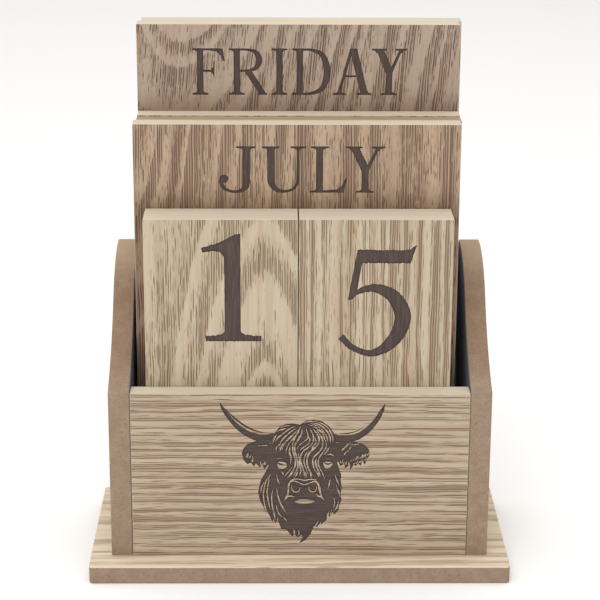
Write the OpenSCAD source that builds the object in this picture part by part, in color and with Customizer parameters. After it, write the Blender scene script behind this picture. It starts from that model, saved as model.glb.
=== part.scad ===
// Flip desk calendar: an open box on a base board, holding three rows of lift-out label tiles.
// Millimetres. The origin is the middle of the base board's underside, +Z is up and the front faces -Y.

/* [Base board] */
// Width of the base board
base_w = 160; // [150:1:180]
// Depth of the base board, front to back
base_d = 76.5; // [74:0.5:90]
// Thickness of the base board with its veneer
base_t = 7; // [5:0.5:10]
// How far the base board stands out in front of the box
front_overhang = 10; // [5:0.5:12]
// Radius of the base board's four upright corners
base_corner_r = 1.5; // [0.5:0.5:4]

/* [Box] */
// Outer width of the box
box_w = 144; // [140:1:146]
// Thickness of the side panels and of the front panel, with veneer
panel_t = 8; // [6:0.5:9]
// Thickness of the back panel, with veneer
back_t = 3; // [2:0.5:4]
// Height of the side panels at the front, above the ground
side_front_z = 73.6; // [60:0.1:80]
// Height of the side panels at the back, above the ground
side_back_z = 114.2; // [108:0.1:120]
// Height of the front panel's top, above the ground
front_top_z = 73.1; // [55:0.1:73.5]
// Radius of the hollow curve at the front of a side panel's top edge
cove_r = 80; // [70:1:90]
// Radius of the round curve at the back of a side panel's top edge
crown_r = 34.5; // [30:0.5:36]
// Slope of the top edge where it starts at the front, in degrees
front_slope = 21; // [18:1:24]
// Gap of the glue joints round the front and back panels
joint_gap = 0.2; // [0.1:0.05:0.4]

/* [Veneer] */
// Thickness of each sheet of veneer
veneer_t = 0.6; // [0.4:0.1:1]

/* [Tiles] */
// Thickness of a tile with both of its veneers
tile_t = 7.6; // [6.5:0.1:7.6]
// Free space between one tile and the next in a stack
tile_gap = 0.25; // [0.2:0.05:0.4]
// Width of a number tile
number_w = 57.2; // [50:0.1:58]
// Length of a number tile
number_l = 131.4; // [120:0.1:140]
// Gap between the left and the right number tiles
number_gap = 0.4; // [0.3:0.1:1]
// Width of a month tile and of a day tile
word_w = 122.2; // [110:0.1:124]
// Length of a month tile
month_l = 163.6; // [150:0.1:170]
// Length of a day tile
day_l = 196.8; // [180:0.1:200]

/* [Screws] */
// Radius of the screw shanks
screw_r = 1.4; // [1:0.1:1.5]
// Radius of the screw heads
head_r = 3; // [2.5:0.1:3.2]
// Length of a screw, head included
screw_l = 19; // [15:1:22]

/* [Hidden] */
$fn = 48;
arc_fn = 240;

// Planes of the box, from front to back
front_y = -base_d / 2 + front_overhang;
back_y = base_d / 2;
box_d = back_y - front_y;
side_core_t = panel_t - veneer_t;
inner_w = box_w - 2 * panel_t;

// The side panel's top edge: a hollow arc that turns into a round arc where both have the same slope
turn_slope = acos((side_front_z + cove_r * cos(front_slope) + crown_r - side_back_z) / (cove_r + crown_r));
turn_y = cove_r * (sin(turn_slope) - sin(front_slope));
turn_z = side_front_z + cove_r * (cos(front_slope) - cos(turn_slope));
crown_y = turn_y + crown_r * sin(turn_slope);

// Tiles stand in three stacks behind the front panel
first_tile_y = front_y + panel_t + tile_gap;
tile_pitch = tile_t + tile_gap;
stack_x = -0.8;
number_x = (number_w + number_gap) / 2;

// One row for each tile: name, middle in X, place in the stacks, width, length
TILES = [
    ["number_tile_left_front", stack_x - number_x, 0, number_w, number_l],
    ["number_tile_right_front", stack_x + number_x, 0, number_w, number_l],
    ["number_tile_left_back", stack_x - number_x, 1, number_w, number_l],
    ["number_tile_right_back", stack_x + number_x, 1, number_w, number_l],
    ["month_tile_front", stack_x - 0.5, 2, word_w, month_l],
    ["month_tile_middle", stack_x + 0.2, 3, word_w, month_l - 0.5],
    ["month_tile_back", stack_x + 0.2, 4, word_w, month_l],
    ["day_tile_front", stack_x, 5, word_w, day_l],
    ["day_tile_back", stack_x + 1.2, 6, word_w, day_l]
];

// Screws come up through the base board into the bottom edges of the side panels
screw_x = (box_w - panel_t) / 2;
screw_ys = [front_y + 12, back_y - 12];
shank_clearance = 0.3;
pilot_clearance = 0.05;
head_h = 1.8;
head_sink = 0.15;
tip_h = 2;
slot_w = 0.7;
slot_l = 3.2;
slot_depth = 0.9;

veneer_colour = [0.77, 0.68, 0.56];
board_colour = [0.63, 0.53, 0.44];
edge_colour = [0.86, 0.79, 0.68];
screw_colour = [0.72, 0.72, 0.7];

// A flat board with four round upright corners, standing on z
module corner_board(z, h) {
    x = base_w / 2 - base_corner_r;
    y = base_d / 2 - base_corner_r;
    translate([0, 0, z]) union() {
        translate([-x, -base_d / 2, 0]) cube([2 * x, base_d, h]);
        translate([-base_w / 2, -y, 0]) cube([base_w, 2 * y, h]);
        for (sx = [-1, 1], sy = [-1, 1])
            translate([sx * x, sy * y, 0]) cylinder(r = base_corner_r, h = h);
    }
}

module at_screws() {
    for (sx = [-1, 1], y = screw_ys)
        translate([sx * screw_x, y, 0]) children();
}

module base_board() {
    color(board_colour) difference() {
        corner_board(0, base_t - veneer_t);
        at_screws() {
            translate([0, 0, -1]) cylinder(r = screw_r + shank_clearance, h = base_t + 2);
            cylinder(r1 = head_r + shank_clearance, r2 = screw_r + shank_clearance, h = head_h + head_sink);
        }
    }
}

module base_veneer() {
    color(veneer_colour) difference() {
        corner_board(base_t - veneer_t, veneer_t);
        at_screws() cylinder(r = screw_r + shank_clearance, h = base_t + 2);
    }
}

// A countersunk wood screw with a cross recess, head down
module screw() {
    difference() {
        union() {
            translate([0, 0, head_sink]) cylinder(r1 = head_r, r2 = screw_r, h = head_h);
            translate([0, 0, head_sink + head_h]) cylinder(r = screw_r, h = screw_l - head_h - tip_h);
            translate([0, 0, head_sink + screw_l - tip_h]) cylinder(r1 = screw_r, r2 = 0.2, h = tip_h);
        }
        for (turn = [0, 90])
            rotate([0, 0, turn]) translate([-slot_l / 2, -slot_w / 2, -1])
                cube([slot_l, slot_w, 1 + head_sink + slot_depth]);
    }
}

module base_screws() {
    color(screw_colour) at_screws() screw();
}

// Outline of a side panel, front edge at 0 and ground at 0
module side_outline() {
    difference() {
        polygon([[0, base_t], [turn_y, base_t], [turn_y, turn_z], [0, side_front_z]]);
        translate([-cove_r * sin(front_slope), side_front_z + cove_r * cos(front_slope)])
            circle(r = cove_r, $fn = arc_fn);
    }
    polygon([
        [turn_y, base_t], [box_d, base_t], [box_d, side_back_z],
        [crown_y, side_back_z], [turn_y, turn_z]
    ]);
    intersection() {
        translate([crown_y, side_back_z - crown_r]) circle(r = crown_r, $fn = arc_fn);
        polygon([[turn_y, turn_z], [crown_y, side_back_z], [turn_y, side_back_z]]);
    }
}

// A sheet of the side panel's outline, from x outwards to x + t
module side_sheet(x, t) {
    translate([x, front_y, 0]) rotate([90, 0, 90]) linear_extrude(height = t) side_outline();
}

module side_board(x) {
    color(board_colour) difference() {
        side_sheet(x, side_core_t);
        at_screws() cylinder(r = screw_r + pilot_clearance, h = screw_l + 1);
    }
}

module side_left() {
    side_board(-box_w / 2 + veneer_t);
}

module side_right() {
    side_board(box_w / 2 - panel_t);
}

module side_left_veneer() {
    color(veneer_colour) side_sheet(-box_w / 2, veneer_t);
}

module side_right_veneer() {
    color(veneer_colour) side_sheet(box_w / 2 - veneer_t, veneer_t);
}

// A sheet that fits between the side panels, from y to y + t and up to top_z
module cross_sheet(y, t, top_z) {
    w = inner_w - 2 * joint_gap;
    z = base_t + joint_gap;
    translate([-w / 2, y, z]) cube([w, t, top_z - z]);
}

module front_panel() {
    color(edge_colour) cross_sheet(front_y + veneer_t, panel_t - veneer_t, front_top_z);
}

module front_veneer() {
    color(veneer_colour) cross_sheet(front_y, veneer_t, front_top_z);
}

module back_panel() {
    color(board_colour) cross_sheet(back_y - back_t, back_t - veneer_t, side_back_z);
}

module back_veneer() {
    color(veneer_colour) cross_sheet(back_y - veneer_t, veneer_t, side_back_z);
}

// One layer of a tile: from is its distance behind the tile's front, t its thickness
module tile_layer(tile, from, t) {
    translate([tile[1] - tile[3] / 2, first_tile_y + tile[2] * tile_pitch + from, base_t])
        cube([tile[3], t, tile[4]]);
}

module tile_core(tile) {
    color(edge_colour) tile_layer(tile, veneer_t, tile_t - 2 * veneer_t);
}

module tile_face(tile) {
    color(veneer_colour) tile_layer(tile, 0, veneer_t);
}

module tile_reverse(tile) {
    color(veneer_colour) tile_layer(tile, tile_t - veneer_t, veneer_t);
}

base_board();
base_veneer();
base_screws();
side_left();
side_left_veneer();
side_right();
side_right_veneer();
front_panel();
front_veneer();
back_panel();
back_veneer();
for (t = TILES) {
    tile_core(t);
    tile_face(t);
    tile_reverse(t);
}
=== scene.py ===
import math

import bmesh
import bpy
import numpy as np
from mathutils import Matrix, Vector, noise
from mathutils.geometry import delaunay_2d_cdt


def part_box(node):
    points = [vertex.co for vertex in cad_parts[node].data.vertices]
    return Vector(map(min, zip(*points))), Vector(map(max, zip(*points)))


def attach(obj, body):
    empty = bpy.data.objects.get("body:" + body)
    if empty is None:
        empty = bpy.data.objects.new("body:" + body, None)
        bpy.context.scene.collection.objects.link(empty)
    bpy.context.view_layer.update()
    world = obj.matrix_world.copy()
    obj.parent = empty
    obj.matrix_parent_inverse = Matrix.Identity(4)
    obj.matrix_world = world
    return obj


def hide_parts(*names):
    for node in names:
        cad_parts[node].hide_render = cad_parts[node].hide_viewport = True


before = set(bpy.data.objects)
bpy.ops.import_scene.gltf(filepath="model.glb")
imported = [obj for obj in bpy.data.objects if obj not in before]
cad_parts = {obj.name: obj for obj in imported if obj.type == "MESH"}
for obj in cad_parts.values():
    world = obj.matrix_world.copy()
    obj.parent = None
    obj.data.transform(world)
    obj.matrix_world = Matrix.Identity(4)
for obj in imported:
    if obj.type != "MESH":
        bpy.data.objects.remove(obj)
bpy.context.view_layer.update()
MM = 0.001
touching = 0.05 * MM  # a point this near a plane counts as on it


# ---- Camera ------------------------------------------------------------------------------
# A long lens 0.8 m away, at the eye height of someone who sits at the desk, looking down on
# the calendar from almost straight in front.
look_down = math.radians(17.81)
look_right = math.radians(0.72)
lean = math.radians(0.27)
camera_place = Vector((-8.8, -708.0, 328.4)) * MM
camera_data = bpy.data.cameras.new("camera")
camera_data.sensor_width = 36.0
camera_data.lens = 116.4
camera = bpy.data.objects.new("camera", camera_data)
camera.matrix_world = (
    Matrix.Translation(camera_place)
    @ Matrix.Rotation(-look_right, 4, "Z")
    @ Matrix.Rotation(math.radians(90) - look_down, 4, "X")
    @ Matrix.Rotation(lean, 4, "Z")
)
bpy.context.scene.collection.objects.link(camera)
bpy.context.scene.camera = camera


# ---- Table and studio light ----------------------------------------------------------------
# A plain pale table top that runs past the view on all sides, a large soft box overhead and
# to the front, and an even white surround.
def new_material(name):
    """A material with just its surface shader, and that shader's tree to add to."""
    material = bpy.data.materials.new(name)
    material.use_nodes = True
    tree = material.node_tree
    return material, tree, tree.nodes["Principled BSDF"]


table_reach = 3.0
table_gap = 0.1 * MM
corners = [(x * table_reach, y * table_reach, -table_gap) for x, y in ((-1, -1), (1, -1), (1, 1), (-1, 1))]
table_mesh = bpy.data.meshes.new("table_top")
table_mesh.from_pydata(corners, [], [(0, 1, 2, 3)])
table_paint, tree, shader = new_material("table_paint")
shader.inputs["Base Color"].default_value = (0.955, 0.95, 0.945, 1)
shader.inputs["Roughness"].default_value = 0.75
table_mesh.materials.append(table_paint)
table = bpy.data.objects.new("table_top", table_mesh)
bpy.context.scene.collection.objects.link(table)

surround = bpy.data.worlds.new("surround")
surround.use_nodes = True
surround.node_tree.nodes["Background"].inputs["Color"].default_value = (1, 0.99, 0.975, 1)
surround.node_tree.nodes["Background"].inputs["Strength"].default_value = 0.66
bpy.context.scene.world = surround


def soft_box(name, place, aim, width, watts):
    """A square area light at place, turned towards aim."""
    data = bpy.data.lights.new(name, "AREA")
    data.size = width
    data.energy = watts
    lamp = bpy.data.objects.new(name, data)
    lamp.location = place
    lamp.rotation_euler = (Vector(aim) - Vector(place)).to_track_quat("-Z", "Y").to_euler()
    bpy.context.scene.collection.objects.link(lamp)


soft_box("overhead_soft_box", (-0.1, 0.1, 2.0), (0, 0.1, 0), 2.4, 20)
soft_box("front_soft_box", (-0.25, -1.3, 1.5), (0, 0, 0.1), 1.2, 13)
bpy.context.scene.view_settings.view_transform = "Standard"


# ---- Base board: fibreboard ------------------------------------------------------------------
# A rectangle of brown medium-density fibreboard with slightly rounded corners. Its cut
# edges are bare and sanded, and four countersunk screw holes come up from below.
def group_tree(name, inputs, outputs):
    """A shader group with named inputs (name: start value) and outputs (name: kind)."""
    tree = bpy.data.node_groups.new(name, "ShaderNodeTree")
    for label, value in inputs.items():
        kind = "Vector" if value is None else "Color" if isinstance(value, tuple) else "Float"
        socket = tree.interface.new_socket(label, in_out="INPUT", socket_type="NodeSocket" + kind)
        if value is not None:
            socket.default_value = value
    for label, kind in outputs.items():
        tree.interface.new_socket(label, in_out="OUTPUT", socket_type="NodeSocket" + kind)
    start = tree.nodes.new("NodeGroupInput")
    end = tree.nodes.new("NodeGroupOutput")
    return tree, start.outputs, end.inputs


def add_node(tree, kind, inputs=None, **settings):
    """One shader node, with its inputs given as values or as sockets to link from."""
    made = tree.nodes.new("ShaderNode" + kind)
    for name, value in settings.items():
        setattr(made, name, value)
    for name, value in (inputs or {}).items():
        if isinstance(value, bpy.types.NodeSocket):
            tree.links.new(value, made.inputs[name])
        else:
            made.inputs[name].default_value = value
    return made


def math_node(tree, operation, a, b=0.0, c=0.0):
    return add_node(tree, "Math", {0: a, 1: b, 2: c}, operation=operation).outputs[0]


def plus(tree, a, b):
    return math_node(tree, "ADD", a, b)


def minus(tree, a, b):
    return math_node(tree, "SUBTRACT", a, b)


def times(tree, a, b):
    return math_node(tree, "MULTIPLY", a, b)


def over(tree, a, b):
    return math_node(tree, "DIVIDE", a, b)


def stretched(tree, vector, scale):
    """The vector with each part multiplied by its own factor."""
    return add_node(tree, "VectorMath", {0: vector, 1: scale}, operation="MULTIPLY").outputs[0]


def noise_value(tree, vector, scale, detail=2.0, rough=0.5, seed=0.0):
    inputs = {"Vector": vector, "W": seed, "Scale": scale, "Detail": detail, "Roughness": rough}
    return add_node(tree, "TexNoise", inputs, noise_dimensions="4D").outputs["Fac"]


def step_up(tree, value, low, high):
    """0 below low and 1 above high, with a smooth rise between them."""
    inputs = {"Value": value, "From Min": low, "From Max": high}
    return add_node(tree, "MapRange", inputs, interpolation_type="SMOOTHSTEP").outputs[0]


def step_down(tree, value, low, high):
    """1 below low and 0 above high."""
    return minus(tree, 1.0, step_up(tree, value, low, high))


def mixed(tree, amount, first, second, blend="MIX"):
    """A mix of two colours. The colour sockets of a Mix node are its inputs 6 and 7."""
    inputs = {"Factor": amount, 6: first, 7: second}
    return add_node(tree, "Mix", inputs, data_type="RGBA", blend_type=blend).outputs[2]


def group_node(tree, group, inputs):
    return add_node(tree, "Group", inputs, node_tree=group).outputs


def linear(red, green, blue):
    """A screen colour of 0 to 255 as the linear colour that shaders use."""
    def part(value):
        value /= 255
        return value / 12.92 if value < 0.04045 else ((value + 0.055) / 1.055) ** 2.4
    return part(red), part(green), part(blue), 1.0


def bumped(tree, shader, height, distance):
    """Lets a height socket roughen the shader's surface, distance metres deep."""
    bump = add_node(tree, "Bump", {"Height": height, "Distance": distance, "Strength": 1.0})
    tree.links.new(bump.outputs[0], shader.inputs["Normal"])


pressed_fibre, start, end = group_tree(
    "pressed_fibre",
    {"Vector": None, "Body": (0.4, 0.3, 0.2, 1), "Fleck": (0.2, 0.1, 0.1, 1), "Pale": (0.6, 0.5, 0.4, 1)},
    {"Color": "Color", "Height": "Float"},
)
tree = pressed_fibre
clouds = noise_value(tree, start["Vector"], 260.0, 3.0, 0.6)
fluff = noise_value(tree, start["Vector"], 1500.0, 3.0, 0.75, 2.0)
hairs = noise_value(tree, stretched(tree, start["Vector"], (0.3, 0.3, 1.4)), 2600.0, 2.0, 0.7, 5.0)
tone = mixed(tree, step_up(tree, clouds, 0.3, 0.75), start["Body"], start["Pale"])
tone = mixed(tree, step_up(tree, fluff, 0.5, 0.7), tone, start["Fleck"])
tone = mixed(tree, step_up(tree, hairs, 0.55, 0.75), tone, start["Pale"])
tree.links.new(tone, end["Color"])
tree.links.new(plus(tree, fluff, times(tree, hairs, 0.6)), end["Height"])

fibreboard, tree, shader = new_material("bare_fibreboard")
place = add_node(tree, "TexCoord").outputs["Object"]
fibre = group_node(tree, pressed_fibre, {
    "Vector": place,
    "Body": linear(147, 125, 106),
    "Fleck": linear(130, 107, 88),
    "Pale": linear(161, 140, 119),
})
# Painted light: the steep part of the side panels' curve is painted a little darker as painted shade, and
# their rounded tops are painted paler as a painted highlight, for how the light falls on them
height = add_node(tree, "SeparateXYZ", {0: place}).outputs["Z"]
steep = times(tree, step_up(tree, height, 74 * MM, 82 * MM), step_down(tree, height, 98 * MM, 113 * MM))
painted_steep_shade = mixed(tree, times(tree, steep, 0.9), fibre["Color"], (0.86, 0.8, 0.76, 1), "MULTIPLY")
painted_crown_light = times(tree, step_up(tree, height, 106 * MM, 113.8 * MM), 0.6)
edge_colour = mixed(tree, painted_crown_light, painted_steep_shade, linear(180, 157, 132))
tree.links.new(edge_colour, shader.inputs["Base Color"])
shader.inputs["Roughness"].default_value = 0.85
shader.inputs["Specular IOR Level"].default_value = 0.25
bumped(tree, shader, fibre["Height"], 0.08 * MM)


def new_piece(name, mesh, body, slot, *nodes):
    """The mesh as a finished piece that moves with a body and stands for its CAD nodes."""
    piece = bpy.data.objects.new(name, mesh)
    bpy.context.scene.collection.objects.link(piece)
    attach(piece, body)
    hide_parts(*nodes)
    return piece


def baked(mesh, *modifiers):
    """The mesh with modifiers applied, each given as (kind, settings)."""
    holder = bpy.data.objects.new("holder", mesh)
    bpy.context.scene.collection.objects.link(holder)
    for kind, settings in modifiers:
        modifier = holder.modifiers.new(kind, kind)
        for name, value in settings.items():
            setattr(modifier, name, value)
    ready = holder.evaluated_get(bpy.context.evaluated_depsgraph_get())
    result = bpy.data.meshes.new_from_object(ready)
    bpy.data.objects.remove(holder)
    return result


def eased(mesh, radius, segments=3, which=lambda at: True):
    """The mesh with its sharp edges sanded round where which says so of an edge's middle."""
    shape = bmesh.new()
    shape.from_mesh(mesh)
    sharp = [
        edge for edge in shape.edges
        if edge.calc_face_angle(0) > math.radians(40) and which((edge.verts[0].co + edge.verts[1].co) / 2)
    ]
    bmesh.ops.bevel(
        shape, geom=sharp, offset=radius, offset_type="OFFSET", segments=segments, profile=0.5,
        affect="EDGES", clamp_overlap=True,
    )
    shape.to_mesh(mesh)
    shape.free()
    mesh.shade_smooth()
    mesh.set_sharp_from_angle(angle=math.radians(35))
    return mesh


def away_from(axis, level):
    """True of points that are off the plane where another layer is glued on."""
    return lambda at: abs(at[axis] - level) > touching


def cad_mesh(node, name):
    """A copy of a CAD node's mesh, with its loose triangles joined into whole flat faces."""
    shape = bmesh.new()
    shape.from_mesh(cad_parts[node].data)
    bmesh.ops.remove_doubles(shape, verts=shape.verts, dist=1e-6)
    bmesh.ops.dissolve_limit(shape, angle_limit=math.radians(1), verts=shape.verts, edges=shape.edges)
    mesh = bpy.data.meshes.new(name)
    shape.to_mesh(mesh)
    shape.free()
    return mesh


def face_materials(mesh, materials, choose=lambda normal: 0):
    """Gives each face the material whose index choose returns for its normal."""
    mesh.materials.clear()
    for material in materials:
        mesh.materials.append(material)
    for face in mesh.polygons:
        face.material_index = choose(face.normal)


base_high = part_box("base_board")[1]
screw_low, screw_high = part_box("base_screws")


def at_rim(at):
    """True of an edge on the outline of the base board, and not at a screw hole."""
    return abs(at.x) > screw_high.x + 1 * MM or abs(at.y) > screw_high.y + 1 * MM


base_mesh = eased(
    cad_mesh("base_board", "base_board"), 0.45 * MM,
    which=lambda at: at_rim(at) and abs(at.z - base_high.z) > touching,
)
face_materials(base_mesh, [fibreboard])
new_piece("base_board_body", base_mesh, "box", "fibreboard", "base_board")


# ---- Base board: veneer -----------------------------------------------------------------------
# A sheet of open-pored light veneer glued on top of the base board, its grain running from
# left to right. All the veneers of the calendar are leaves of the same ring-porous timber.
leaf_figure, start, end = group_tree(
    "leaf_figure",
    {
        "Vector": None, "Heart": 0.0, "Depth": 20.0, "Foot": 0.0, "Taper": 0.1, "Reach": 60.0, "Ring": 3.0,
        "Wander": 4.0, "Seed": 0.0, "Spacing": 0.9, "Run": 8.0, "Porous": 0.0,
        "Pale": (0.6, 0.5, 0.4, 1), "Warm": (0.5, 0.4, 0.3, 1), "Dark": (0.2, 0.1, 0.1, 1),
    },
    {"Color": "Color", "Height": "Float", "Roughness": "Float"},
)
tree = leaf_figure


def drift(speed, detail=2.0, rough=0.5, vector=start["Vector"]):
    """A slow change over the leaf. Speed is how fast it changes across, along and through it."""
    return noise_value(tree, stretched(tree, vector, speed), 1.0, detail, rough, start["Seed"])


# Millimetres, X across the grain and Y along it. A growth ring is a curve of equal distance
# from the heart of the log, which tapers along the leaf and so draws an arch
bend = drift((0.022, 0.006, 0.02), 1.5)
ripple = drift((0.16, 0.035, 0.1))
parts = add_node(tree, "SeparateXYZ", {0: start["Vector"]}).outputs
fibre = math_node(tree, "MULTIPLY_ADD", minus(tree, ripple, 0.5), 2.2, parts["X"])
across = minus(tree, fibre, start["Heart"])
across = math_node(tree, "MULTIPLY_ADD", minus(tree, bend, 0.5), start["Wander"], across)
deep = times(tree, start["Depth"], start["Depth"])
radius = math_node(tree, "SQRT", math_node(tree, "MULTIPLY_ADD", across, across, deep))
far = over(tree, across, start["Reach"])
climb = over(tree, start["Taper"], math_node(tree, "MULTIPLY_ADD", far, far, 1.0))
rise = times(tree, minus(tree, parts["Y"], start["Foot"]), climb)
rings = over(tree, plus(tree, radius, rise), start["Ring"])
ring_place = add_node(tree, "CombineXYZ", {"X": rings}).outputs[0]
uneven = noise_value(tree, ring_place, 0.7, 1.0, 0.5, start["Seed"])
rings = math_node(tree, "MULTIPLY_ADD", uneven, 2.0, rings)
phase = math_node(tree, "FRACT", rings)
early = times(tree, step_up(tree, phase, 0.0, 0.22), step_down(tree, phase, 0.4, 0.95))
patches = drift((0.09, 0.02, 0.1))
strength = math_node(tree, "MULTIPLY_ADD", step_up(tree, patches, 0.3, 0.6), 0.5, 0.5)
early = times(tree, early, strength)
laid = add_node(tree, "CombineXYZ", {"X": fibre, "Y": parts["Y"], "Z": parts["Z"]}).outputs[0]
crowding = plus(tree, math_node(tree, "MULTIPLY_ADD", early, 0.32, -0.15), start["Porous"])


def pore_lines(spacing, run, shift):
    """Thin lines of open pores side by side, each broken into dashes. Crowding closes the gaps."""
    place = over(tree, fibre, times(tree, start["Spacing"], spacing))
    line = math_node(tree, "FLOOR", place)
    dice = add_node(tree, "TexWhiteNoise", {"W": plus(tree, line, shift)}, noise_dimensions="1D")
    middle = math_node(tree, "MULTIPLY_ADD", dice.outputs["Value"], 0.5, 0.25)
    off = math_node(tree, "ABSOLUTE", minus(tree, math_node(tree, "FRACT", place), middle))
    along = over(tree, parts["Y"], times(tree, start["Run"], run))
    spot = add_node(tree, "CombineXYZ", {"X": times(tree, line, 3.7), "Y": along}).outputs[0]
    wave = noise_value(tree, spot, 1.0, 1.0, 0.5, plus(tree, start["Seed"], shift))
    dashes = step_up(tree, plus(tree, wave, crowding), 0.48, 0.64)
    return times(tree, step_down(tree, off, 0.08, 0.26), dashes)


fine_pores = times(tree, pore_lines(0.7, 0.6, 8.0), 0.6)
pore_mask = math_node(tree, "MAXIMUM", pore_lines(1.0, 1.0, 2.0), fine_pores)
bands = drift((0.3, 0.01, 0.3), rough=0.6, vector=laid)
tint = plus(tree, times(tree, early, 0.35), times(tree, step_up(tree, bands, 0.4, 0.7), 0.45))
colour = mixed(tree, tint, start["Pale"], start["Warm"])
rosy = drift((0.9, 0.03, 0.5), vector=laid)
rosy = times(tree, step_up(tree, rosy, 0.46, 0.66), 0.8)
colour = mixed(tree, rosy, colour, (1.0, 0.9, 0.86, 1), "MULTIPLY")
colour = mixed(tree, times(tree, pore_mask, 0.9), colour, start["Dark"])
tree.links.new(colour, end["Color"])
tree.links.new(minus(tree, 1.0, pore_mask), end["Height"])
tree.links.new(math_node(tree, "MULTIPLY_ADD", pore_mask, 0.2, 0.6), end["Roughness"])

# How a leaf lies: what turns its grain to the pattern's Y, and its width to the pattern's X
ALONG_X_LYING = (0, 0, math.radians(90))
ALONG_X_UPRIGHT = (math.radians(90), 0, math.radians(90))
ALONG_Y_UPRIGHT = (0, math.radians(90), 0)
ALONG_Z_UPRIGHT = (math.radians(-90), 0, 0)
LEAF_PALE = linear(195, 182, 158)
LEAF_WARM = linear(170, 150, 124)
LEAF_DARK = linear(104, 80, 58)


def leaf_material(name, turn, centre=(0, 0, 0), pale=LEAF_PALE, warm=LEAF_WARM, dark=LEAF_DARK,
                  dull_z=None, **figure):
    """A veneer whose grain is laid by turn, with its figure measured from centre (metres).
    Below a given height in millimetres its colour is painted darker: painted shade where the tile in front
    shades the leaf."""
    material, tree, shader = new_material(name)
    place = add_node(tree, "TexCoord").outputs["Object"]
    local = add_node(tree, "VectorMath", {0: place, 1: centre}, operation="SUBTRACT").outputs[0]
    laid = add_node(tree, "Mapping", {"Vector": local, "Rotation": turn, "Scale": (1 / MM,) * 3}).outputs[0]
    values = {"Vector": laid, "Pale": pale, "Warm": warm, "Dark": dark}
    values.update({key.capitalize(): value for key, value in figure.items()})
    leaf = group_node(tree, leaf_figure, values)
    colour = leaf["Color"]
    # Painted shade: the colour darkens towards the bottom of the leaf, where the tile in front shades it
    if dull_z:
        height = add_node(tree, "SeparateXYZ", {0: place}).outputs["Z"]
        painted_shade = step_down(tree, height, dull_z * MM, (dull_z + 13) * MM)
        colour = mixed(tree, painted_shade, colour, (0.64, 0.59, 0.56, 1), "MULTIPLY")
    tree.links.new(colour, shader.inputs["Base Color"])
    tree.links.new(leaf["Roughness"], shader.inputs["Roughness"])
    shader.inputs["Specular IOR Level"].default_value = 0.3
    bumped(tree, shader, leaf["Height"], 0.08 * MM)
    return material


base_leaf = leaf_material(
    "base_leaf", ALONG_X_LYING,
    pale=linear(224, 210, 188), warm=linear(203, 184, 157), dark=linear(146, 122, 98),
    heart=4.0, depth=15, taper=0.05, ring=6.0, wander=14.0, seed=3.1, spacing=0.8, run=22.0, porous=-0.04,
)
base_leaf_mesh = eased(
    cad_mesh("base_veneer", "base_veneer"), 0.2 * MM, 2,
    which=lambda at: at_rim(at) and at.z > base_high.z + touching,
)
face_materials(base_leaf_mesh, [base_leaf])
new_piece("base_top_leaf", base_leaf_mesh, "box", "face_veneer", "base_veneer")


# ---- Side panels ---------------------------------------------------------------------------
# Two fibreboard panels sawn to an S-curve: a hollow from the front corner that turns into
# a round shoulder. The inner face is painted black, the outer one has a veneer leaf with its
# grain from front to back, and the sawn edges are left bare.
cove_radius = 80.0
crown_radius = 34.5
front_slope = math.radians(21)
front_corner_z = 73.6
arris = 0.35 * MM


def side_outline(low, high):
    """Points of the panel's outline in Y and Z, in metres, once round from the front foot."""
    top = high.z / MM
    turn = math.acos((front_corner_z + cove_radius * math.cos(front_slope) + crown_radius - top)
                     / (cove_radius + crown_radius))
    steps = 28
    points = [(0.0, low.z / MM)]
    for i in range(steps + 1):
        a = front_slope + (turn - front_slope) * i / steps
        points.append((cove_radius * (math.sin(a) - math.sin(front_slope)),
                       front_corner_z + cove_radius * (math.cos(front_slope) - math.cos(a))))
    y, z = points[-1]
    for i in range(1, steps + 1):
        a = turn * (1 - i / steps)
        points.append((y + crown_radius * (math.sin(turn) - math.sin(a)),
                       z + crown_radius * (math.cos(a) - math.cos(turn))))
    points += [((high.y - low.y) / MM, top), ((high.y - low.y) / MM, low.z / MM)]
    return [(low.y + y * MM, z * MM) for y, z in points]


def outline_slab(name, outline, x_low, x_high):
    """A closed slab between two planes of X, with the outline given in Y and Z."""
    shape = bmesh.new()
    left = [shape.verts.new((x_low, y, z)) for y, z in outline]
    right = [shape.verts.new((x_high, y, z)) for y, z in outline]
    shape.faces.new(left)
    shape.faces.new(reversed(right))
    for i in range(len(outline)):
        j = (i + 1) % len(outline)
        shape.faces.new((left[j], left[i], right[i], right[j]))
    bmesh.ops.recalc_face_normals(shape, faces=shape.faces)
    mesh = bpy.data.meshes.new(name)
    shape.to_mesh(mesh)
    shape.free()
    return mesh


black_paint, tree, shader = new_material("black_paint")
place = add_node(tree, "TexCoord").outputs["Object"]
brushed = noise_value(tree, place, 700.0, 3.0, 0.6)
tint = mixed(tree, step_up(tree, brushed, 0.35, 0.75), linear(110, 116, 134), linear(124, 129, 145))
tree.links.new(tint, shader.inputs["Base Color"])
shader.inputs["Roughness"].default_value = 0.6
bumped(tree, shader, brushed, 0.05 * MM)

front_foot_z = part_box("side_left")[0].z


def inner_and_front_arris(flat, front):
    """Chooses the edges round the flat face at X = flat, and the corner above the front."""
    def choose(at):
        round_face = abs(at.x - flat) < touching and at.z > front_foot_z + arris
        return round_face or (abs(at.y - front) < touching and abs(at.z - front_corner_z * MM) < touching)
    return choose


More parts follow.
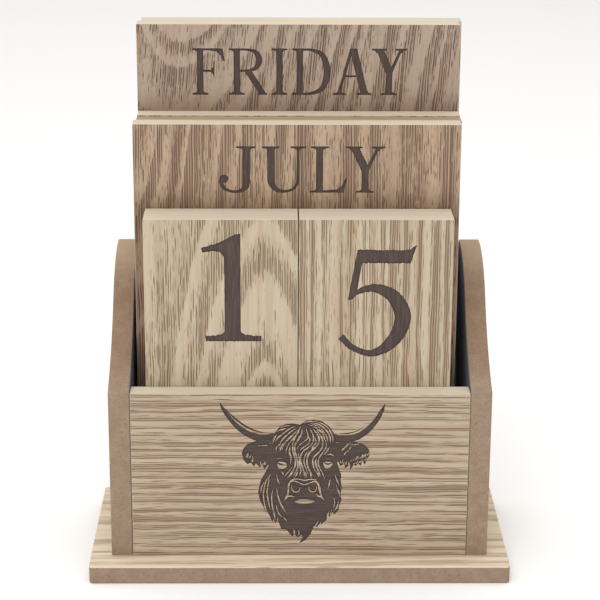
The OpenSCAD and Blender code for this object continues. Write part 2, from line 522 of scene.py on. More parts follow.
for side in ("left", "right"):
    node = "side_" + side
    low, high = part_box(node)
    leaf_low, leaf_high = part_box(node + "_veneer")
    outwards = -1 if side == "left" else 1
    painted = high.x if side == "left" else low.x
    panel = outline_slab(node, side_outline(low, high), low.x, high.x)
    panel = eased(panel, arris, which=inner_and_front_arris(painted, low.y))
    face_materials(panel, [fibreboard, black_paint], lambda normal: int(normal.x * outwards < -0.9))
    new_piece(node + "_body", panel, "box", "fibreboard", node)

    side_leaf = leaf_material(
        node + "_leaf", ALONG_Y_UPRIGHT, heart=38.0, depth=12.0, taper=0.08, ring=4.5, wander=10.0,
        seed=11.0 if side == "left" else 17.0, porous=0.0,
    )
    outer = leaf_low.x if side == "left" else leaf_high.x
    leaf = outline_slab(node + "_veneer", side_outline(leaf_low, leaf_high), leaf_low.x, leaf_high.x)
    leaf = eased(leaf, arris, which=inner_and_front_arris(outer, low.y))
    face_materials(leaf, [fibreboard, side_leaf], lambda normal: int(normal.x * outwards > 0.9))
    new_piece(node + "_leaf", leaf, "box", "face_veneer", node + "_veneer")


# ---- Back panel ----------------------------------------------------------------------------
# A thin fibreboard panel between the sides, flush with their backs: black on the inside
# and veneered on the outside with the grain from left to right.
low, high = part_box("back_panel")
panel = eased(cad_mesh("back_panel", "back_panel"), 0.2 * MM, which=away_from(1, high.y))
face_materials(panel, [fibreboard, black_paint], lambda normal: int(normal.y < -0.9))
new_piece("back_panel_body", panel, "box", "fibreboard", "back_panel")

back_leaf = leaf_material(
    "back_leaf", ALONG_X_UPRIGHT, (0, 0, 60 * MM),
    heart=-14.0, depth=14.0, taper=0.08, ring=5.0, wander=12.0, seed=23.0, porous=0.0,
)
leaf = eased(cad_mesh("back_veneer", "back_veneer"), 0.12 * MM, 2, which=away_from(1, high.y))
face_materials(leaf, [back_leaf])
new_piece("back_panel_leaf", leaf, "box", "face_veneer", "back_veneer")


# ---- Front panel: board --------------------------------------------------------------------
# A board of plain pale timber between the side panels, with its top edge sanded and left
# bare, and its inner face painted black like the rest of the box.
sanded_timber, start, end = group_tree(
    "sanded_timber", {"Vector": None, "Pale": (0.7, 0.6, 0.5, 1), "Line": (0.6, 0.5, 0.4, 1)},
    {"Color": "Color", "Height": "Float"},
)
tree = sanded_timber
lines = noise_value(tree, stretched(tree, start["Vector"], (14.0, 900.0, 14.0)), 1.0, 2.0, 0.6)
cloud = noise_value(tree, stretched(tree, start["Vector"], (60.0, 260.0, 60.0)), 1.0, 2.0, 0.6, 4.0)
dust = noise_value(tree, start["Vector"], 2400.0, 2.0, 0.6, 7.0)
colour = mixed(tree, step_up(tree, lines, 0.46, 0.8), start["Pale"], start["Line"])
colour = mixed(tree, times(tree, step_up(tree, cloud, 0.45, 0.8), 0.4), colour, start["Line"])
colour = mixed(tree, times(tree, step_up(tree, dust, 0.55, 0.85), 0.3), colour, start["Line"])
tree.links.new(colour, end["Color"])
tree.links.new(plus(tree, lines, dust), end["Height"])


def timber_material(name, pale, line):
    material, tree, shader = new_material(name)
    place = add_node(tree, "TexCoord").outputs["Object"]
    timber = group_node(tree, sanded_timber, {"Vector": place, "Pale": pale, "Line": line})
    tree.links.new(timber["Color"], shader.inputs["Base Color"])
    shader.inputs["Roughness"].default_value = 0.7
    shader.inputs["Specular IOR Level"].default_value = 0.3
    bumped(tree, shader, timber["Height"], 0.05 * MM)
    return material


pale_timber = timber_material("pale_timber", linear(207, 195, 175), linear(193, 178, 156))
tan_timber = timber_material("tan_timber", linear(170, 147, 115), linear(150, 126, 95))

low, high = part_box("front_panel")
panel = eased(cad_mesh("front_panel", "front_panel"), 0.2 * MM, which=away_from(1, low.y))
face_materials(panel, [pale_timber, black_paint], lambda normal: int(normal.y > 0.9))
new_piece("front_panel_body", panel, "box", "pale_core", "front_panel")


# ---- Front panel: veneer with the engraved cattle head ------------------------------------
# A leaf with fine straight grain from left to right. A laser has burnt a long-haired,
# long-horned cattle head into it: a dark ground with the strands of hair left standing.
engraving_depth = 0.42 * MM
leaf_rim = 0.12 * MM


def smooth_line(points, steps=6):
    """A smooth line through points of any number of parts, with steps between each two."""
    points = [np.array(p, float) for p in points]
    if len(points) == 2:
        return [points[0] + (points[1] - points[0]) * i / steps for i in range(steps + 1)]
    padded = [2 * points[0] - points[1], *points, 2 * points[-1] - points[-2]]
    line = []
    for a, b, c, d in zip(padded, padded[1:], padded[2:], padded[3:]):
        for i in range(steps):
            t = i / steps
            line.append(0.5 * (2 * b + (c - a) * t + (2 * a - 5 * b + 4 * c - d) * t * t
                               + (3 * b - a - 3 * c + d) * t ** 3))
    line.append(points[-1])
    return line


def stroke(*points):
    """The outline of a pen stroke through (x, y, width) points."""
    line = smooth_line(points)
    left, right = [], []
    for i, here in enumerate(line):
        ahead, behind = line[min(i + 1, len(line) - 1)], line[max(i - 1, 0)]
        run = ahead[:2] - behind[:2]
        run /= max(np.hypot(*run), 1e-9)
        half = np.array((-run[1], run[0])) * max(here[2], 0.002) / 2
        left.append(tuple(here[:2] + half))
        right.append(tuple(here[:2] - half))
    return left + right[::-1]


def disc(x, y, radius, sides=20):
    turns = [2 * math.pi * i / sides for i in range(sides)]
    return [(x + radius * math.cos(a), y + radius * math.sin(a)) for a in turns]


def inside(polygon, points):
    """Which points lie inside the polygon, by counting the edges to one side of them."""
    a = np.array(polygon, float)
    b = np.roll(a, -1, axis=0)
    px, py = points[:, 0:1], points[:, 1:2]
    crosses = (a[:, 1] > py) != (b[:, 1] > py)
    rise = np.where(np.abs(b[:, 1] - a[:, 1]) < 1e-12, 1e-12, b[:, 1] - a[:, 1])
    at = a[:, 0] + (py - a[:, 1]) / rise * (b[:, 0] - a[:, 0])
    return (crosses & (px < at)).sum(axis=1) % 2 == 1


def frayed(polygon, step, reach, seed):
    """The polygon with points every step, each pushed a little along the grain of the wood."""
    points = []
    for (x0, y0), (x1, y1) in zip(polygon, polygon[1:] + polygon[:1]):
        length = math.hypot(x1 - x0, y1 - y0)
        count = max(1, round(length / step))
        points += [(x0 + (x1 - x0) * i / count, y0 + (y1 - y0) * i / count) for i in range(count)]
    return [(x + reach[0] * noise.noise(Vector((x * 0.6, y * 2.3, seed))),
             y + reach[1] * noise.noise(Vector((x * 2.3, y * 0.6, seed + 9)))) for x, y in points]


corner_round = 0.3


def rounded_corners(w, h, r, steps=3):
    """Points round a rectangle of half width w and half height h, with the way each faces."""
    points = []
    for i, (side_x, side_z) in enumerate(((1, -1), (1, 1), (-1, 1), (-1, -1))):
        for k in range(steps + 1):
            a = math.radians(90 * (i - 1 + k / steps))
            points.append((side_x * (w - r) + r * math.cos(a), side_z * (h - r) + r * math.sin(a),
                           math.cos(a), math.sin(a)))
    return points


def cut_along(rim, marks):
    """The flat face inside the rim as triangles that follow the outline of every mark: their
    points, the triangles, and which of them are burnt. Where marks overlap, the last counts."""
    points, lines = [], []
    for ring in [rim, *(polygon for polygon, _ in marks)]:
        first, count = len(points), len(ring)
        points += [Vector(p) for p in ring]
        lines += [(first + i, first + (i + 1) % count) for i in range(count)]
    found, _, triangles, *_ = delaunay_2d_cdt(points, lines, [], 0, 1e-5, False)
    found = np.array([tuple(p) for p in found])
    centres = np.array([found[list(t)].mean(axis=0) for t in triangles])
    burnt_here = np.zeros(len(triangles), bool)
    for polygon, burnt in marks:
        box_low, box_high = np.min(polygon, axis=0), np.max(polygon, axis=0)
        near = np.flatnonzero(np.all((centres >= box_low) & (centres <= box_high), axis=1))
        if len(near):
            burnt_here[near[inside(polygon, centres[near])]] = burnt
    return found, triangles, burnt_here


def engraved_leaf(name, low, high, faces_back, marks, materials):
    """A veneer sheet with marks cut into its outer face.
    marks are (polygon, burnt) pairs in millimetres from the sheet's middle, seen from the
    outside. The three materials are those of the leaf, of the burnt floor and of its edge."""
    middle_x, middle_z = (low.x + high.x) / 2, (low.z + high.z) / 2
    outer, inner = (high.y, low.y) if faces_back else (low.y, high.y)
    # Seen from behind, right is towards -X and inwards is towards -Y
    way = -1 if faces_back else 1
    rim_mm = leaf_rim / MM
    outline = rounded_corners((high.x - low.x) / 2 / MM, (high.z - low.z) / 2 / MM, corner_round)
    rim_inside = [(x - rim_mm * out_x, z - rim_mm * out_z) for x, z, out_x, out_z in outline]
    found, triangles, burnt_here = cut_along(rim_inside, marks)
    verts, faces, kinds, known = [], [], [], {}

    def place(x, z, y):
        return middle_x + way * x * MM, y, middle_z + z * MM

    def vert(index, level):
        """The number of the vertex over a point: level 0 is the face, 1 the burnt floor."""
        key = (index, level)
        if key not in known:
            known[key] = len(verts)
            verts.append(place(*found[index], outer + way * level * engraving_depth))
        return known[key]

    # The triangles, and a wall wherever a burnt one meets one that is left standing
    edge_side = {}
    for triangle, burnt in zip(triangles, burnt_here):
        faces.append([vert(i, int(burnt)) for i in triangle])
        kinds.append(int(burnt))
        for i in range(3):
            edge_side[(triangle[i], triangle[(i + 1) % 3])] = burnt
    for (i, j), burnt in edge_side.items():
        if burnt and not edge_side.get((j, i), True):
            faces.append([vert(j, 0), vert(i, 0), vert(i, 1), vert(j, 1)])
            kinds.append(1)

    # The rounded rim, the sheet's edge and its glued back
    count = len(outline)
    levels = [[vert(int(np.argmin(np.hypot(*(found - p).T))), 0) for p in rim_inside]]
    for share in (0.5, 1.0):
        turn = share * math.pi / 2
        out = rim_mm * math.sin(turn)
        level_y = outer + way * leaf_rim * (1 - math.cos(turn))
        levels.append(list(range(len(verts), len(verts) + count)))
        verts += [place(x + out_x * out, z + out_z * out, level_y)
                  for (x, z), (_, _, out_x, out_z) in zip(rim_inside, outline)]
    levels.append(list(range(len(verts), len(verts) + count)))
    verts += [place(x, z, inner) for x, z, _, _ in outline]
    for near, far in zip(levels, levels[1:]):
        for i in range(count):
            j = (i + 1) % count
            faces.append([near[j], near[i], far[i], far[j]])
            kinds.append(2)
    faces.append(levels[-1][::-1])
    kinds.append(0)
    mesh = bpy.data.meshes.new(name)
    mesh.from_pydata(verts, [], faces)
    mesh.polygons.foreach_set("material_index", kinds)
    shape = bmesh.new()
    shape.from_mesh(mesh)
    bmesh.ops.recalc_face_normals(shape, faces=shape.faces)
    shape.to_mesh(mesh)
    shape.free()
    for material in materials:
        mesh.materials.append(material)
    return mesh


burnt_wood, start, end = group_tree(
    "burnt_wood", {"Vector": None, "Char": (0.1, 0.1, 0.1, 1), "Brown": (0.2, 0.1, 0.1, 1)},
    {"Color": "Color", "Height": "Float"},
)
tree = burnt_wood
streaks = noise_value(tree, stretched(tree, start["Vector"], (1.6, 0.12, 1.0)), 1.0, 3.0, 0.6)
soot = noise_value(tree, start["Vector"], 2.2, 3.0, 0.6, 3.0)
colour = mixed(tree, step_up(tree, streaks, 0.35, 0.7), start["Char"], start["Brown"])
colour = mixed(tree, times(tree, step_up(tree, soot, 0.45, 0.75), 0.5), colour, start["Char"])
tree.links.new(colour, end["Color"])
tree.links.new(plus(tree, streaks, soot), end["Height"])


def burnt_material(name, turn):
    material, tree, shader = new_material(name)
    place = add_node(tree, "TexCoord").outputs["Object"]
    laid = add_node(tree, "Mapping", {"Vector": place, "Rotation": turn, "Scale": (1 / MM,) * 3}).outputs[0]
    colours = {"Char": linear(74, 63, 60), "Brown": linear(93, 80, 74)}
    burn = group_node(tree, burnt_wood, {"Vector": laid, **colours})
    tree.links.new(burn["Color"], shader.inputs["Base Color"])
    shader.inputs["Roughness"].default_value = 0.8
    shader.inputs["Specular IOR Level"].default_value = 0.2
    bumped(tree, shader, burn["Height"], 0.06 * MM)
    return material


# The head is drawn in millimetres from its own middle: burnt shapes first, then the hair
# and the lit parts that the laser leaves standing, then fine burnt lines over them.
def loop(*points):
    """A closed smooth outline through the points."""
    steps = 4
    line = smooth_line([points[-1], *points, points[0], points[1]], steps)
    return [tuple(p) for p in line[steps:-steps - 1]]


def hair(points, width):
    """A hair of that width through (x, y) points, drawn out fine at both ends."""
    widths = [0.12, *[width] * (len(points) - 2), 0.08]
    return stroke(*[(x, y, w) for (x, y), w in zip(points, widths)])


def tuft(start, stop, count, lie, width, seed):
    """Short hairs with their roots between start and stop, all lying nearly one way."""
    hairs = []
    for i in range(count):
        t = (i + 0.5 + 0.6 * math.sin(seed + 5.1 * i)) / count
        x, y = (a + (b - a) * t for a, b in zip(start, stop))
        long = 1 + 0.4 * math.sin(seed + 2.3 * i)
        x_end, y_end = x + lie[0] * long, y + lie[1] * long
        bow = 0.25 * math.sin(seed + 1.7 * i)
        hairs.append(hair([(x, y), ((x + x_end) / 2 + bow, (y + y_end) / 2), (x_end, y_end)], width))
    return hairs


head_burnt = [
    # the shaggy head, from the crown round the right cheek to the beard and back
    [(-8.6, 18.0), (-6.4, 19.2), (-3.8, 19.5), (-0.9, 19.0), (1.4, 20.4), (4.2, 20.9), (7.6, 20.2),
     (10.2, 18.3), (11.9, 15.8), (12.4, 13.0), (13.6, 8.6), (13.2, 4.6), (13.9, 2.0), (14.9, -0.6),
     (14.7, -3.0), (15.2, -5.6), (14.7, -8.0), (15.1, -10.6), (14.2, -12.6), (14.1, -14.4), (12.3, -16.5),
     (11.9, -15.2), (10.7, -17.4), (9.9, -16.4), (9.4, -18.6), (7.2, -20.6), (7.6, -19.0), (5.9, -21.4),
     (4.6, -21.0), (3.4, -24.2), (1.4, -26.6), (-1.0, -27.9), (0.3, -25.9), (0.0, -24.4), (-1.6, -25.6),
     (-2.9, -23.8), (-3.4, -25.2), (-4.6, -24.0), (-5.8, -22.4), (-7.7, -22.3), (-8.8, -19.6),
     (-9.1, -17.2), (-9.9, -20.0), (-10.8, -18.0), (-11.2, -19.4), (-12.4, -16.4), (-13.5, -15.6),
     (-14.8, -12.8), (-15.9, -11.0), (-16.6, -7.6), (-16.2, -5.2), (-15.6, -2.6), (-14.0, 0.2),
     (-12.8, 2.4), (-11.8, 4.6), (-12.6, 8.4), (-11.5, 12.2), (-10.6, 15.4)],
    # ears, ragged along the lower edge
    [(-10.6, 11.4), (-14.0, 12.2), (-17.4, 12.6), (-20.4, 11.6), (-22.3, 9.6), (-22.8, 7.6), (-22.0, 5.0),
     (-20.6, 3.6), (-19.4, 4.2), (-18.2, 2.6), (-17.4, 3.9), (-16.0, 2.4), (-15.2, 3.8), (-14.2, 1.6),
     (-12.9, 3.4), (-11.6, 2.8), (-10.6, 5.4)],
    [(11.6, 11.6), (15.5, 12.3), (19.7, 12.4), (23.4, 11.3), (25.3, 9.3), (25.5, 6.9), (24.2, 5.3),
     (24.0, 3.4), (22.8, 4.5), (22.1, 2.9), (21.2, 3.9), (20.4, 2.8), (19.6, 3.4), (18.1, 1.1), (18.2, 3.2),
     (16.3, 2.0), (16.0, 3.6), (14.4, 2.8), (13.9, 4.4), (12.4, 4.6)],
    # horns, from the root out to the tip
    stroke((-9.6, 13.9, 3.4), (-14.5, 14.0, 4.0), (-19.3, 15.6, 3.7), (-23.6, 18.4, 3.2),
           (-27.2, 22.0, 2.3), (-29.6, 25.0, 1.3), (-30.9, 27.3, 0.3)),
    stroke((11.2, 13.8, 3.0), (16.2, 13.9, 3.6), (20.6, 14.8, 3.5), (24.6, 17.4, 3.0), (27.7, 20.8, 2.2),
           (29.8, 24.2, 1.4), (31.0, 26.9, 0.3)),
]

head_standing = [
    # the lit upper edge of each horn
    stroke((-11.2, 16.1, 0.7), (-14.5, 15.5, 0.9), (-18.4, 16.2, 0.7), (-22.2, 18.2, 0.6),
           (-25.6, 21.0, 0.35), (-27.8, 23.6, 0.1)),
    stroke((13.0, 15.2, 0.4), (17.0, 15.1, 0.6), (21.0, 16.2, 0.7), (24.6, 18.9, 0.7), (27.2, 22.0, 0.6),
           (29.3, 25.2, 0.2)),
    # brow lines and the wet lower lids of the eyes
    loop((-9.3, 4.2), (-7.6, 4.5), (-6.0, 3.9), (-5.9, 2.6), (-7.3, 1.7), (-8.9, 2.2)),
    loop((8.1, 4.4), (9.6, 4.5), (11.4, 4.3), (11.2, 2.9), (9.9, 1.9), (8.6, 2.3)),
    stroke((-9.8, 5.6, 0.15), (-8.6, 5.9, 0.35), (-7.4, 5.7, 0.15)),
    stroke((9.5, 7.2, 0.15), (10.8, 7.5, 0.45), (12.0, 6.7, 0.15)),
    stroke((8.9, 5.5, 0.1), (10.0, 5.8, 0.25), (11.2, 5.5, 0.1)),
    # the rim of the muzzle and the bridge above it, the nostrils and the lip
    stroke((-6.6, -10.6, 0.2), (-5.7, -9.2, 0.8), (-5.2, -7.4, 0.6), (-5.1, -5.2, 0.7), (-4.6, -3.6, 0.6),
           (-3.4, -3.0, 0.4), (-1.8, -3.4, 0.35), (0.8, -4.5, 0.4), (3.2, -3.7, 0.35), (5.0, -3.2, 0.6),
           (6.1, -4.2, 0.7), (6.6, -5.8, 0.9), (7.0, -7.6, 0.7), (7.4, -9.0, 0.6), (8.3, -10.6, 0.2)),
    stroke((-4.4, -2.9, 0.3), (-2.8, -2.3, 0.4), (-1.0, -2.4, 0.3), (1.0, -2.8, 0.4), (3.2, -2.4, 0.4),
           (5.4, -2.6, 0.3)),
    stroke((-3.8, -4.7, 0.2), (-3.9, -5.9, 0.35), (-3.2, -7.1, 0.4), (-1.9, -7.4, 0.35), (-1.0, -6.7, 0.3),
           (-0.8, -5.6, 0.15)),
    stroke((2.7, -5.1, 0.15), (2.7, -6.3, 0.3), (3.4, -7.2, 0.35), (4.6, -7.3, 0.35), (5.4, -6.5, 0.3),
           (5.6, -5.0, 0.2)),
    loop((-2.8, -11.2), (-1.0, -10.5), (0.9, -10.2), (2.8, -10.5), (5.0, -11.0), (3.7, -11.7), (0.9, -12.0),
         (-1.4, -11.8)),
    stroke((-5.9, -9.3, 0.3), (-4.4, -9.0, 0.6), (-2.8, -9.4, 0.15)),
    stroke((5.2, -8.0, 0.15), (6.2, -9.0, 0.6), (7.8, -9.5, 0.3)),
]

# the forelock: wavy strands that fall from the crown, swing to the left in the middle and
# part round the nose
forelock = [
    ((-0.6, 18.5), (-1.4, 16.5), (-2.5, 14.5), (-3.4, 12.1), (-3.6, 9.7), (-3.1, 7.3), (-2.5, 4.9),
     (-2.9, 2.1), (-4.8, -0.6)),
    ((0.1, 17.3), (-0.3, 15.3), (-1.4, 13.3), (-2.6, 11.3), (-2.8, 8.9), (-2.1, 6.5), (-1.6, 4.1),
     (-1.8, 1.7), (-3.3, -1.0)),
    ((1.3, 17.7), (2.0, 15.7), (2.2, 13.9), (0.9, 12.5), (-1.0, 11.1), (-1.9, 9.3)),
    ((-1.5, 7.9), (-1.0, 5.7), (-0.8, 3.3), (-0.4, 1.0), (-1.0, -1.0)),
    ((2.8, 17.7), (4.0, 15.3), (4.3, 13.3), (3.6, 11.3), (2.0, 9.9), (0.3, 8.5), (-0.5, 6.7), (-0.5, 4.7),
     (0.2, 2.5), (0.8, 0.2), (0.9, -1.6)),
    ((1.9, 14.6), (2.9, 13.2), (2.2, 11.4), (0.4, 10.1), (-0.9, 8.8)),
    ((3.9, 17.7), (5.7, 15.3), (6.4, 13.3), (5.8, 11.1), (4.1, 9.3), (2.6, 7.7), (1.9, 5.7), (2.0, 3.3),
     (2.8, 1.2), (4.1, -1.0)),
    ((2.8, 9.0), (1.4, 7.4), (0.8, 5.6), (0.9, 3.6), (1.7, 1.4), (2.2, -0.6)),
    ((5.4, 16.9), (7.1, 14.5), (7.8, 12.1), (7.4, 9.7), (6.0, 7.9), (4.6, 6.5), (4.0, 4.9), (4.4, 2.7),
     (5.2, 0.4)),
    ((5.0, 13.9), (5.2, 12.0), (4.0, 10.2), (3.6, 8.6)),
    ((7.6, 14.9), (8.9, 12.5), (9.0, 10.1), (7.8, 8.1), (6.5, 6.1), (6.1, 4.1), (6.7, 2.1), (7.6, 0.4),
     (8.6, -2.2)),
    ((5.5, 6.2), (5.1, 4.4), (5.6, 2.4), (6.4, 0.2), (7.0, -1.2)),
    ((-2.5, 18.5), (-4.8, 17.3), (-7.0, 15.7), (-8.9, 14.1), (-10.4, 12.1)),
    ((-2.1, 17.7), (-4.4, 16.1), (-6.6, 14.1), (-8.1, 12.1), (-8.8, 9.7)),
    ((-1.8, 16.9), (-3.6, 14.9), (-5.7, 12.9), (-7.2, 10.9), (-7.6, 8.9)),
    ((-1.2, 16.1), (-2.9, 14.1), (-4.6, 12.1), (-5.7, 10.1), (-6.1, 7.7)),
    ((-4.4, 10.9), (-4.8, 8.5), (-4.2, 6.1), (-4.4, 3.7)),
    ((-9.5, 15.3), (-10.6, 13.3), (-11.0, 11.3)),
    ((-8.4, 11.6), (-9.6, 10.2), (-9.8, 8.6)),
    ((-6.4, 12.4), (-7.9, 10.4), (-8.4, 8.4)),
    ((-8.2, 17.7), (-6.3, 18.5), (-4.2, 18.6)),
    ((-9.6, 16.3), (-7.6, 17.1), (-5.4, 17.7)),
    ((2.4, 19.1), (5.0, 17.9), (7.4, 15.9), (8.7, 13.5)),
    ((2.8, 19.6), (5.6, 18.5), (7.8, 16.5), (9.3, 14.1), (9.9, 11.7)),
    ((3.5, 19.9), (6.5, 18.9), (9.0, 16.9), (10.4, 14.3), (10.8, 11.3)),
    ((5.0, 20.2), (8.0, 19.1), (10.1, 17.2), (11.3, 14.7), (11.7, 11.7)),
    ((0.5, 19.7), (2.8, 20.2), (5.2, 20.2)),
    ((10.3, 10.3), (9.4, 8.6), (8.2, 7.2)),
    ((-3.6, 2.5), (-5.1, 0.6), (-6.8, -1.4)),
    ((-2.9, 1.2), (-4.2, -0.5), (-5.7, -2.0)),
    ((-1.4, 1.2), (-2.1, -0.6), (-3.1, -2.0)),
    ((1.3, 0.6), (1.6, -0.8), (1.4, -2.0)),
    ((2.9, 0.2), (3.4, -0.9), (3.5, -1.9)),
    ((5.2, 1.2), (6.0, -0.4), (6.5, -1.6)),
    ((-7.8, 1.0), (-7.4, 0.2), (-6.8, -0.6)),
]
for i, points in enumerate(forelock):
    head_standing.append(hair(points, 0.48 + 0.1 * math.sin(2.4 * i)))

# long locks down the cheeks and the beard, and the short hairs of the ears
cheek_locks = [
    ((-12.8, -1.2), (-14.0, -4.2), (-14.6, -8.2), (-14.3, -11.8), (-13.4, -15.0), (-12.3, -17.2)),
    ((-12.3, -2.4), (-12.9, -5.0), (-13.2, -7.6), (-12.8, -11.0), (-12.0, -14.4)),
    ((-11.0, -6.4), (-11.5, -9.0), (-11.2, -13.0), (-10.4, -16.6), (-10.1, -19.2)),
    ((-9.6, -5.8), (-9.1, -9.0), (-8.0, -12.2), (-6.8, -14.4), (-5.9, -16.0)),
    ((-9.8, -12.6), (-9.1, -15.4), (-7.4, -17.6)),
    ((-7.0, -17.2), (-6.2, -18.4), (-5.7, -19.4)),
    ((-9.6, -0.6), (-9.2, -2.6), (-8.4, -4.4)),
    ((-14.4, -3.6), (-15.3, -5.6), (-15.7, -7.8)),
    ((-11.9, -0.4), (-12.6, -1.8), (-12.9, -3.0)),
    ((10.8, -2.2), (10.3, -4.6), (9.8, -6.6)),
    ((12.5, -0.6), (13.3, -2.8), (14.1, -4.8)),
    ((12.9, -4.4), (14.0, -7.4), (14.6, -9.4)),
    ((12.2, -9.4), (12.5, -11.6), (12.1, -13.8)),
    ((14.0, -11.0), (13.4, -13.4), (12.1, -15.2)),
    ((11.4, -14.2), (11.0, -16.2), (10.6, -16.8)),
    ((10.5, -14.8), (9.9, -16.6), (9.6, -17.6)),
    ((6.4, -18.8), (5.6, -20.4), (5.0, -21.4)),
    ((-3.2, -22.0), (-2.8, -23.4), (-3.0, -24.4)),
    ((-1.4, -22.4), (-1.0, -24.0), (-1.6, -25.0)),
]
for i, points in enumerate(cheek_locks):
    head_standing.append(hair(points, 0.46 + 0.12 * math.sin(3.1 * i)))
head_standing += tuft((14.6, 8.4), (17.4, 11.2), 9, (0.9, 1.2), 0.34, 1.0)
head_standing += tuft((15.2, 6.6), (18.2, 9.6), 7, (0.6, 1.0), 0.24, 2.0)
head_standing += tuft((18.0, 11.0), (20.8, 11.0), 6, (0.9, 0.5), 0.4, 3.0)
head_standing += tuft((18.4, 4.4), (24.8, 6.8), 13, (0.6, 1.4), 0.36, 4.0)
head_standing += tuft((19.8, 3.4), (24.6, 5.0), 9, (0.5, 1.2), 0.36, 5.0)
head_standing += tuft((14.4, 4.0), (18.0, 2.8), 6, (0.3, 1.4), 0.34, 6.0)
head_standing += tuft((-21.6, 6.8), (-19.6, 5.4), 4, (0.6, 1.2), 0.5, 7.0)
head_standing += tuft((-19.6, 4.6), (-18.2, 4.4), 3, (0.3, 1.6), 0.4, 8.0)
head_standing += tuft((-16.6, 3.2), (-13.4, 3.0), 4, (0.3, 1.3), 0.3, 9.0)
head_standing += tuft((-16.6, 10.6), (-14.4, 10.8), 3, (0.9, 0.2), 0.4, 10.0)

head_lines = [
    # the upper lids that hang into the lit eyes, and the tops of the nostrils
    stroke((-9.6, 4.2, 0.4), (-8.3, 3.7, 0.6), (-7.0, 3.5, 0.3)),
    stroke((8.2, 4.5, 0.3), (9.7, 3.6, 0.6), (11.4, 4.2, 0.4)),
    stroke((-3.6, -5.2, 0.5), (-2.6, -5.0, 0.7), (-1.4, -5.2, 0.4)),
    stroke((3.4, -5.2, 0.5), (4.4, -5.0, 0.7), (5.2, -5.2, 0.4)),
]

head_middle = (0.8, 0.9)
head_stretch = 1.04
marks = [(shape, True) for shape in head_burnt] + [(shape, False) for shape in head_standing]
marks += [(shape, True) for shape in head_lines]
marks = [([(x + head_middle[0], y * head_stretch + head_middle[1])
           for x, y in frayed(shape, 0.5, (0.12, 0.05), i)], burnt)
         for i, (shape, burnt) in enumerate(marks)]
low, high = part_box("front_veneer")
front_leaf = leaf_material(
    "front_leaf", ALONG_X_UPRIGHT, (0, 0, 40 * MM),
    pale=linear(190, 173, 150), warm=linear(158, 136, 115), dark=linear(104, 80, 64),
    heart=-60.0, depth=5.0, taper=0.02, ring=3.4, wander=9.0, seed=31.0, spacing=0.85, run=12.0, porous=0.05,
)
burnt_front = burnt_material("burnt_front", ALONG_X_UPRIGHT)
leaf = engraved_leaf("front_veneer", low, high, False, marks, (front_leaf, burnt_front, pale_timber))
new_piece("front_panel_leaf", leaf, "box", "face_veneer", "front_veneer")


# ---- Lettering of the tiles -----------------------------------------------------------------
# The laser burns a wide roman alphabet with bracketed serifs. Letters and digits are drawn
# with a cap height of 1: upright stems, thin hairlines, slabs for serifs and pen strokes.
STEM = 0.138
HAIR = 0.052
SLAB = 0.036
BRACKET = 0.06


def bar(x0, y0, x1, y1):
    return [(x0, y0), (x1, y0), (x1, y1), (x0, y1)]


def serif(x0, x1, out0, out1, y, up, slab=SLAB, bracket=BRACKET):
    """A slab from x0 - out0 to x1 + out1 that swells into the stem between x0 and x1."""
    def bend(start, corner, stop):
        parts = list(zip(start, corner, stop))
        return [tuple((1 - t) ** 2 * a + 2 * t * (1 - t) * b + t * t * c for a, b, c in parts)
                for t in (0.25, 0.5, 0.75)]
    top, reach = y + up * slab, y + up * (slab + bracket)
    right, left = x1 + out1, x0 - out0
    points = [(left, y), (right, y), (right, top)]
    points += bend((right, top), (x1, top), (x1, reach)) if out1 > 0.03 else []
    points += [(x1, reach), (x0, reach)]
    points += bend((x0, reach), (x0, top), (left, top)) if out0 > 0.03 else []
    points.append((left, top))
    return points


def stem(x, width=STEM, y0=0.0, y1=1.0, foot=(0.1, 0.1), head=(0.1, 0.1)):
    """An upright, with serifs where foot and head give how far they reach left and right."""
    shapes = [bar(x, y0, x + width, y1)]
    if foot:
        shapes.append(serif(x, x + width, *foot, y0, 1))
    if head:
        shapes.append(serif(x, x + width, *head, y1, -1))
    return shapes


def flipped(shapes, width):
    """The shapes turned upside down within a glyph of that width."""
    return [[(width - x, 1 - y) for x, y in shape] for shape in shapes]


def oval(x, y, rx, ry, thick, thin):
    """A ring with thick sides and a thin top and bottom, as two overlapping halves."""
    between = (thick + thin) / 2
    half = [(0, 1, thin), (-0.72, 0.72, between), (-1, 0, thick), (-0.72, -0.72, between), (0, -1, thin)]
    rx, ry = rx - thick / 2, ry - thin / 2
    left = stroke(*[(x + rx * a, y + ry * b, w) for a, b, w in half])
    right = stroke(*[(x - rx * a, y + ry * b, w) for a, b, w in half])
    middle = [(0.05, 1, thin), (-0.05, 1, thin)]
    return [left, right] + [stroke(*[(x + rx * a, y + s * ry, w) for a, b, w in middle]) for s in (1, -1)]


# The beaked ends of the arms of E, F and L, and the two strokes of 6
TOP_BEAK = [(0.36, 1.0), (0.655, 1.0), (0.70, 0.725), (0.665, 0.725), (0.61, 0.845), (0.53, 0.925),
            (0.36, 0.955)]
MID_BEAK = [(0.485, 0.74), (0.47, 0.32), (0.455, 0.42), (0.40, 0.495), (0.24, 0.495), (0.24, 0.54),
            (0.40, 0.54), (0.45, 0.60), (0.465, 0.74)]
LOW_BEAK = [(0.24, 0.0), (0.70, 0.0), (0.755, 0.30), (0.725, 0.30), (0.65, 0.13), (0.55, 0.06),
            (0.24, 0.045)]
SIX = [
    stroke((0.475, 0.985, 0.03), (0.31, 0.88, 0.09), (0.14, 0.62, 0.13), (0.085, 0.33, 0.145),
           (0.17, 0.09, 0.10), (0.31, 0.028, 0.05)),
    stroke((0.29, 0.028, 0.05), (0.45, 0.09, 0.10), (0.515, 0.29, 0.145), (0.45, 0.50, 0.10),
           (0.32, 0.575, 0.05), (0.2, 0.53, 0.05), (0.12, 0.43, 0.05)),
]

